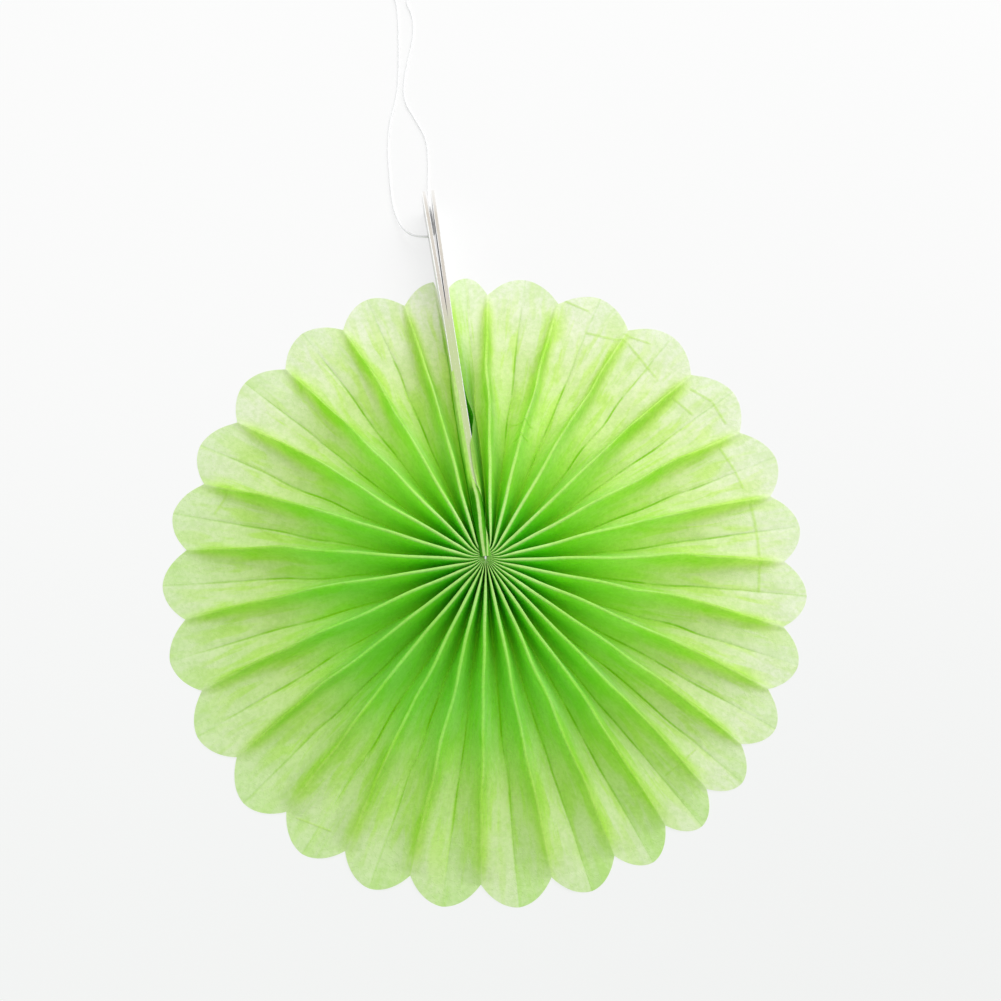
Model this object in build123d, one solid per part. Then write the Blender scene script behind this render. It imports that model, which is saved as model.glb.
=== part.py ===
from build123d import *
import os
from math import atan2, cos, degrees, hypot, pi, radians, sin, sqrt, tan

# A tissue-paper fan rosette that lies open on a table, in millimetres, +Z up.
# The origin is on the hub axis, in the plane that the rosette lies on.
# One long strip of tissue is pleated. Its end leaves are pasted on two card strips, which
# are swung round until they meet, a thread ties the pleats at the hub, and a thread loop
# through one card hangs the rosette on a wall.

# Rosette
PETALS = 28
TIP_RADIUS = 101.6            # hub axis to the rounded tip of a petal, where a valley fold ends
SCALLOP_DEPTH = 6.8           # from a tip in to the notches beside it, where the ridge folds end
LEAF_WIDTH = 13.5             # across a folded pleat, ridge to valley, and the height of the cards
TISSUE = 0.1                  # thickness that the sheet is modelled with
HUB_HOLE_RADIUS = 2.0         # left open where the inner ends of the pleats stand round the hub
RIM_RIDGE = 0.5               # height that the ridges keep at the notches
SINK_START = 0.61             # share of the way out to the notches, where the ridges begin to sink
SINK_POWER = 1.7
RIM_HOLLOW = 2.3              # a leaf falls off its ridge with this power at the notches, evenly at 1

# How unevenly the rosette was pulled open, as rim angles clockwise from the seam
SEAM_DIRECTION = 98.9         # of the two cards, anticlockwise from +X
FIRST_TIP = 4.7
FIRST_NOTCH = 9.0
LAST_TIP = 358.4
OPENING_WAVES = ((2, 6.8), (3, 3.1), (5, -0.5), (6, -0.45), (10, -0.5))   # half waves, degrees

# Card strips
CARD_THICKNESS = 1.5
CARD_SETBACK = 5.0            # from the hub axis to the inner end of a strip
CARD_END = 128.5              # from the hub axis to the outer end
CARD_BEND = 80.0              # up to here the strips touch, and from here they spread
CARD_GAP = 1.65               # between the strips at their outer ends
EYE_MARGIN = 13.2             # from the outer end of the left strip in to its hole
EYE_DIAMETER = 2.8

# Threads
THREAD = 0.8
HUB_THREAD = 0.8
HUB_TIE_CLEARANCE = 0.05
HUB_TIE_DEPTH = 1.6           # of the tie's centre line below the tops of the pleats
FLOOR_GAP = 0.02              # under a thread that lies on the table
COIL_X = -32.2
COIL_Y = 228.0
COIL_RADIUS = 4.2             # at the middle of the turns
COIL_LAYERS = 3
COIL_COLUMNS = 2
COIL_LEAD = 3.5               # straight thread beside the coil, where each leg joins it
TIE_WIDTH = 1.6
TIE_SINK = 0.3
KNOT_RADIUS = 1.0

# Where a leaf's section is drawn
INNER_SHARES = (0.06, 0.17, 0.36, SINK_START, 0.74, 0.92)   # of the way out to the notches
BEND_SHARE = 0.4              # of the way from the ridge to the valley, where a hollow leaf bends
SCALLOP_STEPS = 5
SCALLOP_START = 60.0          # degrees along the quarter ellipse that a scallop begins with
SCALLOP_SHARE = 0.97          # how much of the leaf the scallop has cut away at the tip

NOTCH_RADIUS = TIP_RADIUS - SCALLOP_DEPTH
EYE_STATION = CARD_END - EYE_MARGIN
LAST_FOLD = 2 * PETALS - 1
RIGHT_LEAF = -1               # pasted on the right card
LEFT_LEAF = LAST_FOLD         # pasted on the left card


def seam_point(station, side, height=0.0):
    """A place beside the seam: station from the hub axis, side to the right of it."""
    turn = radians(SEAM_DIRECTION)
    x = station * cos(turn) + side * sin(turn)
    y = station * sin(turn) - side * cos(turn)
    return Vector(x, y, height)


def card_face(station):
    """Distance from the seam to the outer face of a card."""
    spread = max(0.0, (station - CARD_BEND) / (CARD_END - CARD_BEND))
    return CARD_THICKNESS + spread * CARD_GAP / 2


def pasted_angle(station):
    """Angle between the seam and the fold beside a card, over its pasted leaf."""
    return degrees(atan2(card_face(station) + TISSUE, station))


def rim_angle(fold):
    """Angle of a fold at the rim, clockwise from the seam. Even folds are ridges."""
    if fold == 0:
        return pasted_angle(TIP_RADIUS)
    if fold == 1:
        return FIRST_TIP
    share = (fold - 2) / (LAST_FOLD - 2)
    waves = sum(swing * sin(pi * count * share) for count, swing in OPENING_WAVES)
    return FIRST_NOTCH + (LAST_TIP - FIRST_NOTCH) * share + waves


def fold_point(fold, station):
    """Plan position of a fold. The folds share out the turn that the cards leave free."""
    if fold == RIGHT_LEAF:
        return seam_point(station, card_face(station))
    if fold == LEFT_LEAF + 1:
        return seam_point(station, -card_face(station))
    rim_edge = pasted_angle(TIP_RADIUS)
    share = (rim_angle(fold) - rim_edge) / (360 - 2 * rim_edge)
    edge = pasted_angle(station)
    angle = radians(SEAM_DIRECTION - edge - share * (360 - 2 * edge))
    radius = hypot(station, card_face(station) + TISSUE)
    return Vector(radius * cos(angle), radius * sin(angle))


def fold_pitch(fold, station):
    """Mean plan distance from a fold to the free folds beside it."""
    here = fold_point(fold, station)
    beside = [near for near in (fold - 1, fold + 1) if 0 <= near <= LAST_FOLD]
    return sum((fold_point(near, station) - here).length for near in beside) / len(beside)


def sunk_share(station):
    """How far out a station is on the stretch where the ridges sink, up to 1 at the notches."""
    start = SINK_START * NOTCH_RADIUS
    return min(max((station - start) / (NOTCH_RADIUS - start), 0.0), 1.0)


def ridge_height(fold, station):
    """A ridge sinks as its leaves lean over, and comes down to the table at the notches."""
    if fold <= 0 or fold > LAST_FOLD:
        return LEAF_WIDTH
    leaning = sqrt(max(LEAF_WIDTH**2 - fold_pitch(fold, station)**2, RIM_RIDGE**2))
    return leaning + (RIM_RIDGE - leaning) * sunk_share(station)**SINK_POWER


def bend_level(station):
    """Height at which a leaf bends, as a share of its ridge's. A hollow leaf has it low."""
    return (1 - BEND_SHARE)**(1 + (RIM_HOLLOW - 1) * sunk_share(station))


def fold_cut(fold, station):
    """Upright and level extent of half the sheet's thickness at a fold."""
    if fold < 0 or fold > LAST_FOLD:
        return TISSUE, TISSUE
    level = bend_level(station)
    drop, share = (1 - level, BEND_SHARE) if fold % 2 == 0 else (level, 1 - BEND_SHARE)
    steepness = ridge_height(fold, station) * drop / (fold_pitch(fold, station) * share)
    upright = TISSUE / 2 * sqrt(1 + steepness**2)
    return upright, upright / steepness


def scallop_cut(station):
    """Share of a leaf that the scallop has cut off its ridge side, along a quarter ellipse."""
    rise = (station - NOTCH_RADIUS) / SCALLOP_DEPTH
    if rise <= 0:
        return 0.0
    start = radians(SCALLOP_START)
    height = sin(start) + (1 - sin(start)) * min(rise, 1.0)
    return SCALLOP_SHARE * (1 - sqrt(1 - height**2) / cos(start))


def leaf_stations():
    """Distances from the hub axis at which a leaf's section is drawn."""
    start = radians(SCALLOP_START)
    hub_end = sqrt(HUB_HOLE_RADIUS**2 - CARD_THICKNESS**2)
    stations = [hub_end] + [share * NOTCH_RADIUS for share in INNER_SHARES]
    if CARD_BEND < TIP_RADIUS:
        stations.append(CARD_BEND)
    for step in range(SCALLOP_STEPS + 1):
        turn = start + (pi / 2 - start) * step / SCALLOP_STEPS
        stations.append(NOTCH_RADIUS + SCALLOP_DEPTH * (sin(turn) - sin(start)) / (1 - sin(start)))
    return sorted(stations)


def leaf_section(leaf, station):
    """Eight corners of a leaf's section, from the ridge over the upper side and back below."""
    ridge, valley = (leaf, leaf + 1) if leaf % 2 == 0 else (leaf + 1, leaf)
    start = fold_point(ridge, station)
    across = fold_point(valley, station) - start
    width = across.length
    height = ridge_height(ridge, station)
    ridge_up, ridge_level = fold_cut(ridge, station)
    valley_up, valley_level = fold_cut(valley, station)
    sag = height * (1 - BEND_SHARE - bend_level(station))
    if leaf in (RIGHT_LEAF, LEFT_LEAF):
        ridge_level = valley_level = TISSUE
        sag = 0.0

    def corner(level, up):
        return start + across * (level / width) + Vector(0, 0, up)

    def side(ridge_end, valley_end):
        """The upper or lower side, from where the scallop cuts it to the valley."""
        bend = ridge_end + (valley_end - ridge_end) * BEND_SHARE - Vector(0, 0, sag)
        cut = scallop_cut(station)
        points = []
        for share in (cut, cut + (1 - cut) * BEND_SHARE):
            if share > BEND_SHARE:
                points.append(bend + (valley_end - bend) * ((share - BEND_SHARE) / (1 - BEND_SHARE)))
            else:
                points.append(ridge_end + (bend - ridge_end) * (share / BEND_SHARE))
        return points + [valley_end]

    upper = side(corner(ridge_level, height), corner(width, valley_up))
    lower = side(corner(0, height - ridge_up), corner(width - valley_level, 0))
    ridge_top = corner(0, height)
    if station > NOTCH_RADIUS:
        ridge_top = (upper[0] + lower[0]) * 0.5
    return [ridge_top] + upper + [corner(width, 0)] + lower[::-1]


def skin(sections, corners):
    """Ruled faces that join the same corners of a leaf's sections."""
    lines = [Wire.make_polygon([row[corner] for corner in corners], close=False) for row in sections]
    return Shell.make_loft(lines, ruled=True).faces()


def leaf_faces(leaf):
    """All faces of a leaf but those where it runs on into its neighbours."""
    stations = leaf_stations()
    sections = [leaf_section(leaf, station) for station in stations]
    rim = [row for row, station in zip(sections, stations) if station >= NOTCH_RADIUS]
    if leaf == RIGHT_LEAF:
        faces = skin(sections, (0, 1, 2, 3, 4, 5, 6, 7))
    elif leaf == LEFT_LEAF:
        faces = skin(sections, (4, 5, 6, 7, 0, 1, 2, 3))
    else:
        faces = skin(sections, (0, 1, 2, 3)) + skin(sections, (4, 5, 6, 7))
    if leaf != LEFT_LEAF:
        faces += skin(rim, (7, 0))
    for end in (sections[0], sections[-1]):
        faces.append(Face(Wire.make_polygon(end, close=True)))
    return faces


def pleated_tissue():
    """The whole folded sheet as one closed solid."""
    faces = [face for leaf in range(RIGHT_LEAF, LEFT_LEAF + 1) for face in leaf_faces(leaf)]
    return Solid(Shell(faces))


def card_strip(side):
    """A strip beside the seam, -1 for the left one and 1 for the right one."""
    stations = (CARD_SETBACK, CARD_BEND, CARD_END)
    outer = [seam_point(station, side * card_face(station)) for station in stations]
    inner = [seam_point(station, side * (card_face(station) - CARD_THICKNESS)) for station in stations]
    outline = Face(Wire.make_polygon(outer + inner[::-1], close=True))
    return Solid.extrude(outline, Vector(0, 0, LEAF_WIDTH))


def eye_cutter():
    """The punch for the thread's hole, square to the left strip's faces."""
    spread = degrees(atan2(CARD_GAP / 2, CARD_END - CARD_BEND))
    middle = seam_point(EYE_STATION, CARD_THICKNESS / 2 - card_face(EYE_STATION), LEAF_WIDTH / 2)
    punch = Cylinder(EYE_DIAMETER / 2, 2 * CARD_THICKNESS, rotation=(0, 90, 0))
    return Pos(*middle) * Rot(0, 0, SEAM_DIRECTION + spread - 90) * punch


def hub_tie():
    """A ring of thread that holds the inner ends of the pleats together."""
    ring_radius = HUB_HOLE_RADIUS - HUB_TIE_CLEARANCE - HUB_THREAD / 2
    return Pos(0, 0, LEAF_WIDTH - HUB_TIE_DEPTH) * Torus(ring_radius, HUB_THREAD / 2)


def thread_routes():
    """Points of the two legs of the loop, each from the hole in the card to the coil."""
    low = THREAD / 2 + FLOOR_GAP
    middle = LEAF_WIDTH / 2
    exit_point = seam_point(EYE_STATION - 0.07, -2.45, middle)
    coil_foot = COIL_Y - COIL_LEAD
    left = [
        exit_point,
        seam_point(EYE_STATION + 0.575, -5.95, middle),
        Vector(-27.2, 116.2, 4.3),
        Vector(-30.6, 121.8, 1.2),
        Vector(-33.2, 129.8, low),
        Vector(-34.4, 140.5, low),
        Vector(-35.5, 152.5, low),
        Vector(-35.0, 163.5, low),
        Vector(-32.7, 173.5, low),
        Vector(-32.3, 184.5, low),
        Vector(-32.6, 196.0, low),
        Vector(-33.1, 207.0, low),
        Vector(-34.1, 215.5, low),
        Vector(COIL_X - COIL_RADIUS, 220.9, low),
        Vector(COIL_X - COIL_RADIUS, coil_foot, low),
    ]
    right = [
        exit_point,
        seam_point(EYE_STATION - 0.3, -1.2, middle),
        seam_point(EYE_STATION + 0.45, -0.1, middle),
        seam_point(EYE_STATION + 3.0, 0.02, middle - 0.2),
        seam_point(EYE_STATION + 8.0, 0.0, middle - 1.4),
        seam_point(EYE_STATION + 15.5, -0.1, 3.4),
        Vector(-20.7, 137.5, 1.0),
        Vector(-20.9, 146.5, low),
        Vector(-21.6, 156.0, low),
        Vector(-25.8, 164.0, low),
        Vector(-30.2, 171.8, low),
        Vector(-30.4, 180.5, low),
        Vector(-28.9, 190.5, low),
        Vector(-27.1, 200.5, low),
        Vector(-28.0, 209.5, low),
        Vector(-31.0, 215.6, low),
        Vector(COIL_X + COIL_RADIUS, 220.4, low),
        Vector(COIL_X + COIL_RADIUS, coil_foot, low),
    ]
    return left, right


def corner_radii(route):
    """A radius for each corner, as large as its two runs allow."""
    radii = []
    for before, here, after in zip(route, route[1:], route[2:]):
        turn = radians((here - before).get_angle(after - here))
        shorter = min((here - before).length, (after - here).length)
        radii.append(0.45 * shorter / tan(turn / 2))
    return radii


def thread_tube(name, route):
    """A leg of the loop: straight runs joined by tangent arcs, swept with a round section."""
    radii = corner_radii(route)
    path = FilletPolyline(*route, radius=radii)
    section = Plane(origin=path @ 0, z_dir=path % 0) * Circle(THREAD / 2)
    tube = sweep(section, path=path)
    expected = pi * THREAD**2 / 4 * path.length
    print(name, "radii", " ".join(f"{radius:.1f}" for radius in radii))
    print(name, f"length {path.length:.1f}, volume {tube.volume:.2f} of {expected:.2f}")
    return tube


def coil_ring(inset):
    """The outer shape of the put-away turns, or the core that the tie is drawn in to."""
    width = COIL_COLUMNS * THREAD - 2 * inset
    height = COIL_LAYERS * THREAD - 2 * inset
    middle = FLOOR_GAP + COIL_LAYERS * THREAD / 2
    section = Plane.XZ * Pos(COIL_RADIUS, middle) * RectangleRounded(width, height, 0.45 * width)
    return Pos(COIL_X, COIL_Y, 0) * revolve(section, Axis.Z)


def thread_coil():
    """The coil with its tie. The tie fills a groove that it draws in round the turns."""
    ring = coil_ring(0)
    block = Pos(COIL_X, COIL_Y + COIL_RADIUS) * Box(TIE_WIDTH, 2 * COIL_RADIUS, 4 * COIL_RADIUS)
    tie = (ring & block) - coil_ring(TIE_SINK)
    coil = ring - tie
    for side in (-1, 1):
        lead_start = (COIL_X + side * COIL_RADIUS, COIL_Y - COIL_LEAD / 2, THREAD / 2 + FLOOR_GAP)
        coil += Pos(*lead_start) * Rot(90, 0, 0) * Cylinder(THREAD / 2, COIL_LEAD)
    return coil, tie


def loop_knot():
    """The knot that closes the loop, lying against the coil."""
    reach = COIL_RADIUS + COIL_COLUMNS * THREAD / 2 + 0.8 * KNOT_RADIUS
    knot = Pos(COIL_X + reach * sin(pi / 4), COIL_Y + reach * cos(pi / 4), KNOT_RADIUS + FLOOR_GAP)
    return knot * Sphere(KNOT_RADIUS) - coil_ring(0)


left_route, right_route = thread_routes()
coil, tie = thread_coil()
nodes = {
    "pleated_tissue": pleated_tissue(),
    "card_left": card_strip(-1) - eye_cutter(),
    "card_right": card_strip(1),
    "hub_tie": hub_tie(),
    "thread_left": thread_tube("thread_left", left_route),
    "thread_right": thread_tube("thread_right", right_route),
    "thread_coil": coil,
    "coil_tie": tie,
    "loop_knot": loop_knot(),
}
os.makedirs("parts", exist_ok=True)
for node, shape in nodes.items():
    export_step(shape, f"parts/{node}.step")
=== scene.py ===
from math import atan2, cos, degrees, exp, hypot, pi, radians, sin, sqrt

import bpy
from mathutils import Matrix, Vector, noise


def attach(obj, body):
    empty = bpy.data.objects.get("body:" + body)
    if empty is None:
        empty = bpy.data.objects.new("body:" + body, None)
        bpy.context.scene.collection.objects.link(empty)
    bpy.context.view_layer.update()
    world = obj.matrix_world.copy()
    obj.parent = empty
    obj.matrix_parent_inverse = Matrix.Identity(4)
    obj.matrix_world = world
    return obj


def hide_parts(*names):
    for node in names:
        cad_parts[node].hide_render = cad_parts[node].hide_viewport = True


# A tissue-paper fan rosette on a table. Lengths are in millimetres, and MM brings them to metres.
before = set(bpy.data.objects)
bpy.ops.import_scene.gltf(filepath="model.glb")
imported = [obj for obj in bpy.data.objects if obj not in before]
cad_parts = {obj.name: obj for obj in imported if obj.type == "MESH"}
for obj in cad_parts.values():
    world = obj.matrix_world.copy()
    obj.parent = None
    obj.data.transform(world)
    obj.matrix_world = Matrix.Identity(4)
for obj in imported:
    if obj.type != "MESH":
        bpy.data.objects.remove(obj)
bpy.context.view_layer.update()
MM = 0.001
scene = bpy.context.scene

# Camera: from above the lower half of the rosette
CAMERA_PLACE = Vector((0.792, -76.588, 335.628))
CAMERA_TARGET = Vector((4.666, 22.089, 0.0))
CAMERA_LENS = 39.02

# Rosette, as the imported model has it. A leaf lies between two folds, a ridge and a valley, and
# a station is a distance from the hub axis. Angles of folds are in degrees, clockwise from the
# seam, and directions are in degrees, anticlockwise from +X.
PETALS = 28
TIP_RADIUS = 101.6            # to the tip of a petal, where a valley ends
SCALLOP_DEPTH = 6.8           # from a tip in to the notches, where the ridges end
NOTCH_RADIUS = TIP_RADIUS - SCALLOP_DEPTH
LEAF_WIDTH = 13.5             # across a folded pleat, and the height of the cards
HUB_END = 0.35                # station of the leaves' inner ends
SEAM_DIRECTION = 98.9         # of the two cards
FIRST_TIP = 4.7               # angle at which the first valley ends
FIRST_NOTCH = 9.0             # the first ridge
LAST_TIP = 358.4              # the last valley
OPENING_WAVES = ((2, 6.8), (3, 3.06), (5, -0.55), (6, -0.45), (10, -0.5))   # half waves, degrees
LAST_FOLD = 2 * PETALS - 1
RIGHT_LEAF = -1               # pasted on the right card
LEFT_LEAF = LAST_FOLD         # pasted on the left card
SETTLE_START = 58.0           # the ridges begin to sink here, and reach the table at the notches
SETTLE_POWER = 1.7
RIM_RIDGE = 0.5               # height that the ridges keep at the notches
SCALLOP_START = 60.0          # where a scallop begins on its quarter ellipse, in degrees
SHEET_LIFT = 0.06             # of the sheet over the table
INNER_STEPS = 54              # rows of a leaf's mesh up to the notches
RIM_STEPS = 12                # and from there to the tip

# Where along a leaf something sets in or ends, as pairs of stations
AXIS_CLOSED = (0.7, 5.0)      # the folds move out from the hub axis to beside the cards
COVERED = (20.0, 27.0)        # the sheet's ends stop covering the cards
SWAY_BEGINS, SWAY_ENDS = (5.0, 25.0), (60.0, 85.0)
UNEVEN_BEGINS = (2.0, 20.0)
PINCH_BEGINS = (24.0, 74.0)
CREASES_FLATTEN = (72.0, 98.0)
LEFT_END_SINKS, RIGHT_END_SINKS = (60.0, 94.0), (48.0, 92.0)

# How the tissue is creased
AXIS_SHARE = 0.15             # of the folds' distance from the cards' middle that is left at the axis
FOLD_SWAY = 1.1               # in degrees, of a fold that isn't quite straight
RIDGE_UNEVEN = 0.6            # in a ridge's height
SHEET_WAVES = (               # between folds: length, height and place in the noise
    (17.0, 0.5, (3.1, 7.7, 0.0)),
    (5.5, 0.16, (9.4, 2.2, 0.0)),
)
PINCH = 0.88                  # share of a ridge's height that stands in a narrow fin out at the rim
FIN_REACH = 0.65              # width in which the fin falls off
CREST = 0.42                  # half the width of a ridge's rounded top
CREST_DROP = 0.08
# Where the rest of a row's points lie, from the crest at 0 to the valley at 1
BEYOND_CREST = (0.035, 0.075, 0.125, 0.19, 0.3, 0.44, 0.6, 0.76, 0.88, 0.95, 1.0)
GROOVE_REACH = 0.45           # width of the crease along a valley
CREASE_DEPTH = 0.5            # of a valley's crease under the flat of its petal
CREASE_LOSS = 0.75            # share of it that is lost toward the tip
STRAIGHT_DIRECTION = 268.0    # of the middle of the petals that are plain folds out to their tips
STRAIGHT_SPREAD = (36.0, 64.0)          # degrees from there, between which they end
STRAIGHT_PINCH = 0.85         # share of the pinch that they lack
TONE_STATION = 60.0           # where a leaf's side is taken, for its painted light
PAINTED_LIGHT_SIDE = Vector((0.574, 0.819, 0.0))   # leaves that face it are painted paler, as if lit from there
SEED = 7                      # of the leaves' tones

# Sides of the seam at which the sheet's first and last ridges lie, as station, left and right:
# beside the cards out at the rim, and drawn over their tops nearer the hub
END_RIDGES = (
    (0.3, -0.3, 0.35), (4.0, -0.3, 0.85), (8.0, -0.2, 1.35), (15.0, 0.25, 2.0), (19.0, 0.3, 1.7),
    (24.0, -0.15, 0.75), (30.0, -0.5, 0.5), (36.0, -0.55, 0.6), (41.0, -0.65, 2.0),
    (46.0, -0.65, 3.1), (53.0, -0.6, 2.0), (60.0, -0.9, 1.6), (70.0, -1.3, 1.6), (76.0, -1.6, 1.6),
)
LEFT, RIGHT = 1, 2            # columns of END_RIDGES
# Where the points of an end leaf's row lie, as many as in the other leaves' rows
END_SHARES = (0.0, 0.04, 0.08, 0.12, 0.16, 0.2, 0.25, 0.3, 0.4, 0.5, 0.65, 0.8, 0.9, 1.0)

# Cards
CARD_THICKNESS = 1.5
CARD_BEND = 80.0              # up to here the cards touch, and from here they spread
CARD_END = 128.5
CARD_GAP = 1.65               # between the cards at their outer ends
EYE_STATION = 115.3           # of the hole in the left card
PASTED = 0.1                  # from a card's face to the fold that is pasted on it
OVER_CARD = 0.12              # from a card's top to the sheet's end ridge

# Threads
THREAD = 0.8
LOW = 0.42                    # height of a thread's centre line on the table
COIL = Vector((-32.2, 228.0, 0.0))
COIL_RADIUS = 4.2             # at the middle of the turns
COIL_LEAD = 3.5               # straight thread beside the coil, where each leg joins it
TWIST_DEPTH = 1.7             # of the hub tie below the tops of the pleats
TWIST_RADIUS = 1.35


def finish_mesh(name, verts, faces):
    """A smooth piece in the scene, from points in millimetres."""
    mesh = bpy.data.meshes.new(name)
    mesh.from_pydata([vert * MM for vert in verts], [], faces)
    mesh.update()
    mesh.polygons.foreach_set("use_smooth", [True] * len(mesh.polygons))
    piece = bpy.data.objects.new(name, mesh)
    scene.collection.objects.link(piece)
    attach(piece, "root")
    return piece


# Camera

def add_camera():
    data = bpy.data.cameras.new("camera")
    data.lens = CAMERA_LENS
    data.sensor_width = 36.0
    data.clip_end = 20.0
    camera = bpy.data.objects.new("camera", data)
    scene.collection.objects.link(camera)
    ahead = (CAMERA_TARGET - CAMERA_PLACE).normalized()
    right = ahead.cross(Vector((0, 1, 0))).normalized()
    up = right.cross(ahead)
    camera.matrix_world = Matrix.Translation(CAMERA_PLACE * MM) @ Matrix((right, up, -ahead)).transposed().to_4x4()
    scene.camera = camera


# Plan of the rosette

def seam_point(station, side, height=0.0):
    """A place beside the seam: side is to the right of it."""
    turn = radians(SEAM_DIRECTION)
    return Vector((
        station * cos(turn) + side * sin(turn),
        station * sin(turn) - side * cos(turn),
        height,
    ))


def card_face(station):
    """How far a card's outer face lies from the seam."""
    spread = max(0.0, (station - CARD_BEND) / (CARD_END - CARD_BEND))
    return CARD_THICKNESS + spread * CARD_GAP / 2


# Thread

def thread_points():
    middle = LEAF_WIDTH / 2
    foot = COIL.y - COIL_LEAD
    left = [
        seam_point(EYE_STATION - 0.07, -2.45, middle),
        seam_point(EYE_STATION + 0.575, -5.95, middle),
        Vector((-27.2, 116.2, 4.3)),
        Vector((-30.6, 121.8, 1.2)),
        Vector((-33.2, 129.8, LOW)),
        Vector((-34.4, 140.5, LOW)),
        Vector((-35.5, 152.5, LOW)),
        Vector((-35.0, 163.5, LOW)),
        Vector((-32.7, 173.5, LOW)),
        Vector((-32.3, 184.5, LOW)),
        Vector((-32.6, 196.0, LOW)),
        Vector((-33.1, 207.0, LOW)),
        Vector((-34.1, 215.5, LOW)),
        Vector((COIL.x - COIL_RADIUS - 0.4, 220.9, LOW)),
        Vector((COIL.x - COIL_RADIUS - 0.4, foot, LOW)),
    ]
    right = [
        seam_point(EYE_STATION - 0.07, -2.45, middle),
        seam_point(EYE_STATION - 0.3, -1.2, middle),
        seam_point(EYE_STATION + 0.45, -0.1, middle),
        seam_point(EYE_STATION + 3.0, 0.02, middle - 0.2),
        seam_point(EYE_STATION + 8.0, 0.0, middle - 1.4),
        seam_point(EYE_STATION + 15.5, -0.1, 3.4),
        Vector((-20.7, 137.5, 1.0)),
        Vector((-20.9, 146.5, LOW)),
        Vector((-21.6, 156.0, LOW)),
        Vector((-25.8, 164.0, LOW)),
        Vector((-30.2, 171.8, LOW)),
        Vector((-30.4, 180.5, LOW)),
        Vector((-28.9, 190.5, LOW)),
        Vector((-27.1, 200.5, LOW)),
        Vector((-28.0, 209.5, LOW)),
        Vector((-31.0, 215.6, LOW)),
        Vector((COIL.x + COIL_RADIUS + 0.8, 220.4, LOW)),
        Vector((COIL.x + COIL_RADIUS + 1.1, foot, 0.7)),
    ]
    return left + coil_turns() + right[::-1]


def coil_turns():
    """Six turns beside and on each other, and a half turn that lies in the groove outside them."""
    inner, outer = COIL_RADIUS - THREAD / 2, COIL_RADIUS + THREAD / 2
    seats = [
        (outer, LOW), (inner, LOW), (inner, LOW + THREAD), (inner, LOW + 2 * THREAD),
        (outer, LOW + 2 * THREAD), (outer, LOW + THREAD),
        (outer + 0.87 * THREAD, LOW + THREAD / 2),
    ]
    per_turn = 16
    points = []
    for step in range(1, int(6.5 * per_turn)):
        turn = step / per_turn
        seat = int(turn)
        settle = min(1.0, (turn - seat) * per_turn / 3)
        before, here = seats[max(seat - 1, 0)], seats[seat]
        radius = before[0] + (here[0] - before[0]) * settle
        height = before[1] + (here[1] - before[1]) * settle
        angle = pi - 2 * pi * turn
        points.append(COIL + Vector((radius * cos(angle), radius * sin(angle), height)))
    return points


def add_thread():
    points = thread_points()
    data = bpy.data.curves.new("thread", "CURVE")
    data.dimensions = "3D"
    spline = data.splines.new("NURBS")
    spline.points.add(len(points) - 1)
    for knot, point in zip(spline.points, points):
        knot.co = (*(point * MM), 1.0)
        knot.radius = THREAD / 2 * MM
    spline.order_u = 3
    spline.use_endpoint_u = True
    data.resolution_u = 6
    data.bevel_depth = 1.0      # times each point's radius
    data.bevel_resolution = 3
    thread = bpy.data.objects.new("thread", data)
    scene.collection.objects.link(thread)
    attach(thread, "root")
    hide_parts("thread_left", "thread_right", "thread_coil")
    return thread, points[0]


# Tissue

def rim_angle(fold):
    """Where a fold between the sheet's ends meets the rim."""
    if fold == 1:
        return FIRST_TIP
    share = (fold - 2) / (LAST_FOLD - 2)
    waves = sum(swing * sin(pi * count * share) for count, swing in OPENING_WAVES)
    return FIRST_NOTCH + (LAST_TIP - FIRST_NOTCH) * share + waves


def smooth_share(value, low, high):
    share = min(1.0, max(0.0, (value - low) / (high - low)))
    return share * share * (3 - 2 * share)


def end_ridge(station, column):
    """The side of the seam at which the sheet's LEFT or RIGHT end ridge lies."""
    if station >= END_RIDGES[-1][0]:
        return (card_face(station) + PASTED) * (-1 if column == LEFT else 1)
    for before, after in zip(END_RIDGES, END_RIDGES[1:]):
        if station <= after[0]:
            share = smooth_share(station, before[0], after[0])
            return before[column] + (after[column] - before[column]) * share


def fold_point(fold, station):
    """The place of a fold in the plan. The folds close in on the hub axis between the cards."""
    if fold == 0:
        return seam_point(station, end_ridge(station, RIGHT))
    if fold == RIGHT_LEAF:
        return seam_point(station, card_face(station))
    if fold == LEFT_LEAF + 1:
        return seam_point(station, end_ridge(station, LEFT))
    rim_edge = degrees(atan2(card_face(TIP_RADIUS) + PASTED, TIP_RADIUS))
    share = (rim_angle(fold) - rim_edge) / (360 - 2 * rim_edge)
    beside = (card_face(station) + PASTED) * (AXIS_SHARE + (1 - AXIS_SHARE) * smooth_share(station, *AXIS_CLOSED))
    edge = degrees(atan2(beside, station))
    sway = noise.noise(Vector((fold * 5.3, station / 16.0, 1.7)))
    sway *= FOLD_SWAY * smooth_share(station, *SWAY_BEGINS) * (1 - smooth_share(station, *SWAY_ENDS))
    angle = radians(SEAM_DIRECTION - edge - share * (360 - 2 * edge) + sway)
    radius = hypot(station, beside)
    return Vector((radius * cos(angle), radius * sin(angle), 0.0))


def fold_pitch(fold, station):
    """Mean distance from a fold to the two beside it."""
    here = fold_point(fold, station)
    return sum((fold_point(near, station) - here).length for near in (fold - 1, fold + 1)) / 2


def sunk(station):
    """How far a ridge has sunk at a station, from 0 at the hub to 1 at the notches."""
    return min(1.0, max(0.0, (station - SETTLE_START) / (NOTCH_RADIUS - SETTLE_START)))


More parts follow.
